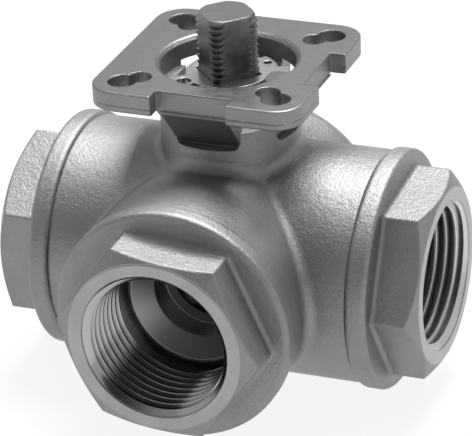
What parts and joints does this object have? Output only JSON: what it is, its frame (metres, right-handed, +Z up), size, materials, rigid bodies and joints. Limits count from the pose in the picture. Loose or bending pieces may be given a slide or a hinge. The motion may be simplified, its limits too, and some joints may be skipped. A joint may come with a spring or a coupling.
{
  "type": "three-way ball valve",
  "caption": "Compact three-way ball valve with hexagon ports for pipe threads, a cast body, a square actuator pad on a short neck and a square stem.",
  "frame": {"origin": "on the stem's axis, at the height of the mounting pad's top face", "axes": "+Z up along the stem, away from the ports; +X out of the right port; -Y out of the front port"},
  "size_m": [0.099, 0.079, 0.0862],
  "materials": {
    "cast_steel": "matte",
    "machined_steel": "satin",
    "fitting_steel": "satin",
    "stem_steel": "satin",
    "polished_steel": "polished",
    "seal": "matte",
    "rubber": "matte"
  },
  "bodies": {
    "valve_body": {"body": "cast_steel", "cap_right": "machined_steel", "cap_left": "machined_steel", "cap_front": "machined_steel", "cap_gasket_right": "seal", "cap_gasket_left": "seal", "cap_gasket_front": "seal", "seat_right": "seal", "seat_left": "seal", "seat_front": "seal", "seat_back": "seal", "thrust_washer": "seal", "packing_lower": "seal", "packing_middle": "seal", "packing_upper": "seal", "gland": "fitting_steel"},
    "rotor": {"stem": "stem_steel", "ball": "polished_steel", "stem_o_ring": "rubber", "disc_spring_lower": "fitting_steel", "disc_spring_upper": "fitting_steel", "stem_nut": "fitting_steel", "stop_plate": "fitting_steel"}
  },
  "joints": [
    {"name": "stem_turn", "type": "hinge", "parent": "valve_body", "child": "rotor", "pos_m": [0, 0, 0], "axis": [0, 0, 1], "range_deg": [0, 90]}
  ]
}
